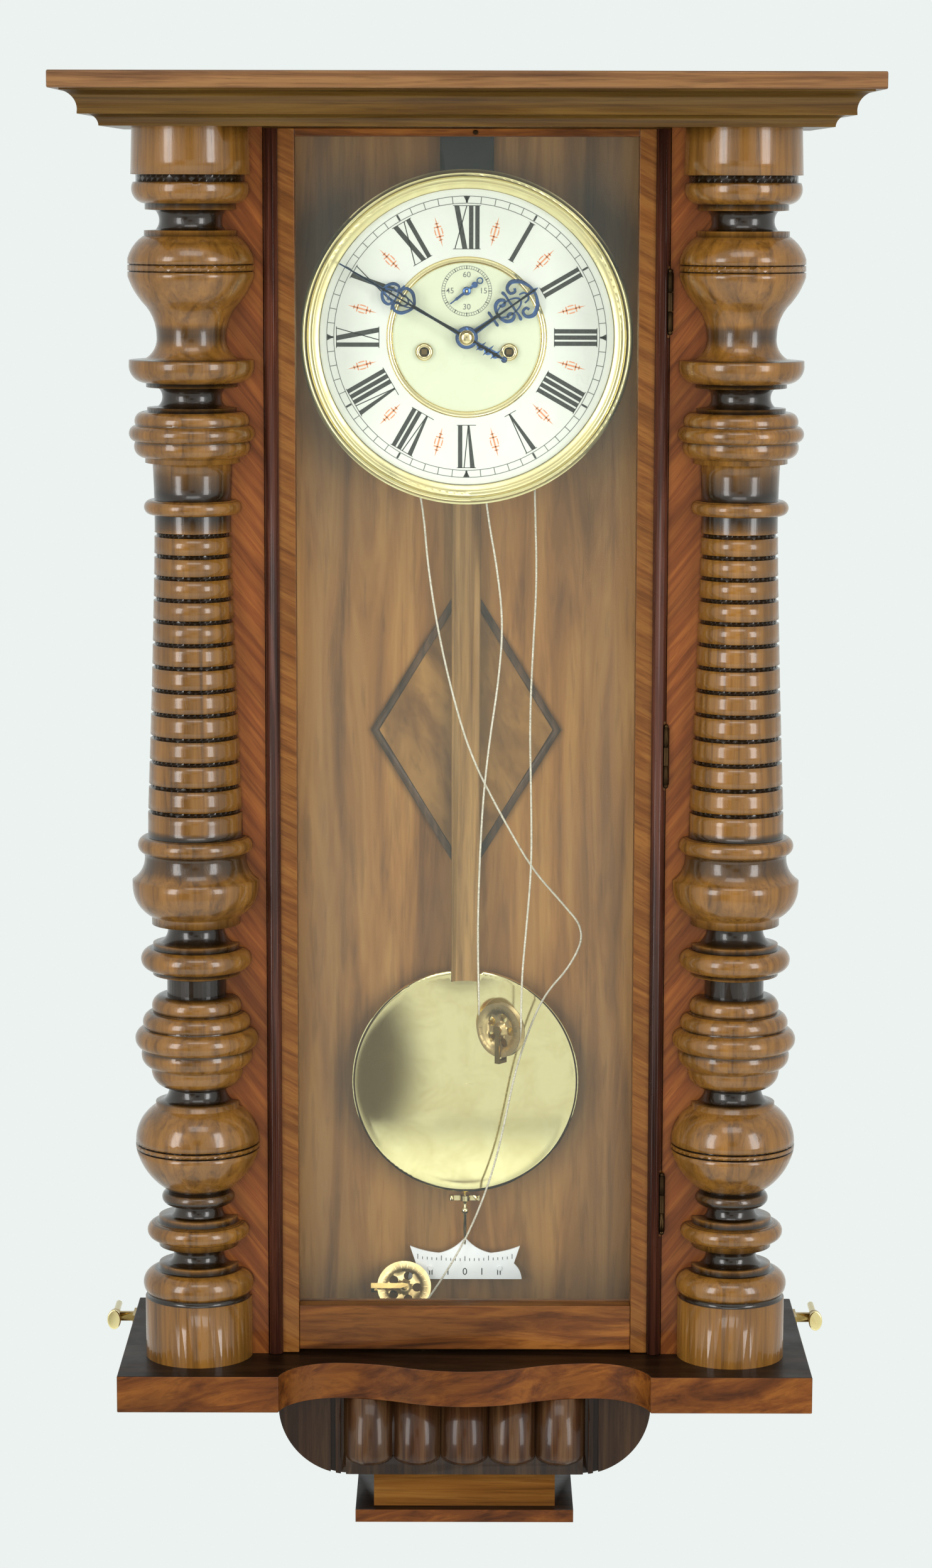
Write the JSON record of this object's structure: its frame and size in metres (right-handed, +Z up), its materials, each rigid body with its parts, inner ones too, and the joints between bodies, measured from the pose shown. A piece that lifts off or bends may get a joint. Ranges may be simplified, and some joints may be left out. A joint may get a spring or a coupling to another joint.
{
  "type": "vienna regulator wall clock",
  "caption": "Weight-driven wall clock with a long pendulum in a glazed walnut case with turned columns, a moulded cornice and a shelf with a lobed apron.",
  "frame": {"origin": "centre of the hanging hole, on the flat back of the case", "axes": "+X to the right as one faces the clock, +Y into the wall, +Z up"},
  "size_m": [0.4766, 0.2, 0.8746],
  "materials": {
    "walnut": "walnut veneer, French polished",
    "ebonised": "ebonised mouldings, polished",
    "burr": "figured walnut veneer, polished",
    "maple": "pale figured veneer, varnished",
    "glass": "clear window glass",
    "brass": "lacquered brass, turned and polished",
    "old_brass": "brass, dull with age",
    "enamel": "fired enamel, fine hairlines",
    "blued": "blued steel",
    "steel": "turned steel",
    "iron": "blackened iron",
    "gut": "twisted gut, varnished"
  },
  "bodies": {
    "case": {"backboard": "walnut", "case_roof": "walnut", "side_frames": "walnut", "side_glasses": "glass", "front_stiles": "burr", "cornice_moulding": "walnut", "cornice_board": "walnut", "shelf": "walnut", "apron": "walnut", "base": "walnut", "left_column": "walnut", "right_column": "walnut", "diamond": "ebonised", "hanger_plate": "iron", "steady_lugs": "old_brass", "case_knuckles": "brass", "iron_bracket": "iron", "movement_frame": "brass", "dial_plate": "brass", "dial_enamel": "enamel", "gilt_ring": "brass", "bezel": "brass", "gong": "steel", "beat_scale": "enamel", "pulley_stirrups": "old_brass", "going_line": "gut", "strike_line": "gut"},
    "door": {"door_stiles": "burr", "door_rails": "ebonised", "door_mouldings": "ebonised", "door_glass": "glass", "glazing_beads": "walnut", "door_brass": "brass"},
    "left_steady_screw": {"left_steady_screw": "old_brass"},
    "right_steady_screw": {"right_steady_screw": "old_brass"},
    "minute_hand": {"minute_hand": "blued", "centre_wheel": "brass"},
    "hour_hand": {"hour_hand": "blued", "hour_wheel": "brass"},
    "minute_wheel": {"minute_wheel": "brass"},
    "going_great_wheel": {"going_great_wheel": "brass"},
    "third_wheel": {"third_wheel": "brass"},
    "escape_wheel": {"escape_wheel": "brass", "seconds_hand": "blued"},
    "anchor": {"anchor": "steel"},
    "going_barrel": {"going_barrel": "brass", "going_winding": "gut"},
    "strike_barrel": {"strike_barrel": "brass", "strike_winding": "gut"},
    "strike_great_wheel": {"strike_great_wheel": "brass"},
    "pin_wheel": {"pin_wheel": "brass"},
    "fly": {"fly": "brass"},
    "hammer": {"hammer": "steel"},
    "pendulum": {"bob": "brass", "pendulum_brass": "brass", "suspension_spring": "steel", "pendulum_rod": "maple"},
    "rating_nut": {"rating_nut": "brass"},
    "hanging_pulley": {"hanging_pulley": "old_brass"},
    "lying_pulley": {"lying_pulley": "old_brass"}
  },
  "joints": [
    {"name": "door_hinge", "type": "hinge", "parent": "case", "child": "door", "pos_m": [0.1198, -0.12595, -0.38], "axis": [0, 0, 1], "range_deg": [0, 105]},
    {"name": "pendulum_swing", "type": "hinge", "parent": "case", "child": "pendulum", "pos_m": [0, -0.024, -0.087], "axis": [0, 1, 0], "range_deg": [-2, 2]},
    {"name": "anchor_rock", "type": "hinge", "parent": "case", "child": "anchor", "pos_m": [0, -0.044, -0.087], "axis": [0, 1, 0], "range_deg": [-2.2, 2.2]},
    {"name": "minute_hand_turn", "type": "hinge", "parent": "case", "child": "minute_hand", "pos_m": [0, -0.054, -0.132], "axis": [0, 1, 0], "continuous": true},
    {"name": "hour_hand_turn", "type": "hinge", "parent": "case", "child": "hour_hand", "pos_m": [0, -0.054, -0.132], "axis": [0, 1, 0], "continuous": true},
    {"name": "minute_wheel_turn", "type": "hinge", "parent": "case", "child": "minute_wheel", "pos_m": [0, -0.054, -0.1512], "axis": [0, 1, 0], "continuous": true},
    {"name": "going_great_wheel_turn", "type": "hinge", "parent": "case", "child": "going_great_wheel", "pos_m": [0.0255, -0.054, -0.1407], "axis": [0, 1, 0], "continuous": true},
    {"name": "third_wheel_turn", "type": "hinge", "parent": "case", "child": "third_wheel", "pos_m": [0.014, -0.054, -0.1107], "axis": [0, 1, 0], "continuous": true},
    {"name": "escape_wheel_turn", "type": "hinge", "parent": "case", "child": "escape_wheel", "pos_m": [0, -0.054, -0.1043], "axis": [0, 1, 0], "continuous": true},
    {"name": "going_barrel_turn", "type": "hinge", "parent": "case", "child": "going_barrel", "pos_m": [0.0255, -0.054, -0.1407], "axis": [0, 1, 0], "continuous": true},
    {"name": "strike_barrel_turn", "type": "hinge", "parent": "case", "child": "strike_barrel", "pos_m": [-0.0255, -0.054, -0.1407], "axis": [0, 1, 0], "continuous": true},
    {"name": "strike_great_wheel_turn", "type": "hinge", "parent": "case", "child": "strike_great_wheel", "pos_m": [-0.0255, -0.054, -0.1407], "axis": [0, 1, 0], "continuous": true},
    {"name": "pin_wheel_turn", "type": "hinge", "parent": "case", "child": "pin_wheel", "pos_m": [-0.027, -0.054, -0.11464], "axis": [0, 1, 0], "continuous": true},
    {"name": "fly_turn", "type": "hinge", "parent": "case", "child": "fly", "pos_m": [-0.037, -0.054, -0.09814], "axis": [0, 1, 0], "continuous": true},
    {"name": "hammer_strike", "type": "hinge", "parent": "case", "child": "hammer", "pos_m": [-0.046, -0.044, -0.162], "axis": [0, 1, 0], "range_deg": [-4, 10]},
    {"name": "left_steady_screw_turn", "type": "hinge", "parent": "case", "child": "left_steady_screw", "pos_m": [-0.2223, -0.029, -0.7532], "axis": [0, 1, 0], "continuous": true},
    {"name": "right_steady_screw_turn", "type": "hinge", "parent": "case", "child": "right_steady_screw", "pos_m": [0.2223, -0.029, -0.7532], "axis": [0, 1, 0], "continuous": true},
    {"name": "rating_nut_turn", "type": "hinge", "parent": "pendulum", "child": "rating_nut", "pos_m": [0, -0.024, -0.677], "axis": [0, 0, 1], "continuous": true},
    {"name": "hanging_pulley_turn", "type": "hinge", "parent": "case", "child": "hanging_pulley", "pos_m": [0.0221, -0.05, -0.5627], "axis": [0.6157, 0.788, 0], "continuous": true},
    {"name": "lying_pulley_turn", "type": "hinge", "parent": "case", "child": "lying_pulley", "pos_m": [-0.0385, -0.0321, -0.73364], "axis": [0, -0.8192, 0.5736], "continuous": true}
  ],
  "couplings": [
    {"joint": "anchor_rock", "follows": "pendulum_swing", "ratio": 1},
    {"joint": "hour_hand_turn", "follows": "minute_hand_turn", "ratio": 0.083333},
    {"joint": "minute_wheel_turn", "follows": "minute_hand_turn", "ratio": -0.33333},
    {"joint": "going_great_wheel_turn", "follows": "minute_hand_turn", "ratio": -0.11905},
    {"joint": "third_wheel_turn", "follows": "minute_hand_turn", "ratio": -8},
    {"joint": "escape_wheel_turn", "follows": "minute_hand_turn", "ratio": 60},
    {"joint": "pin_wheel_turn", "follows": "strike_great_wheel_turn", "ratio": -8.4},
    {"joint": "fly_turn", "follows": "strike_great_wheel_turn", "ratio": 67.2}
  ]
}
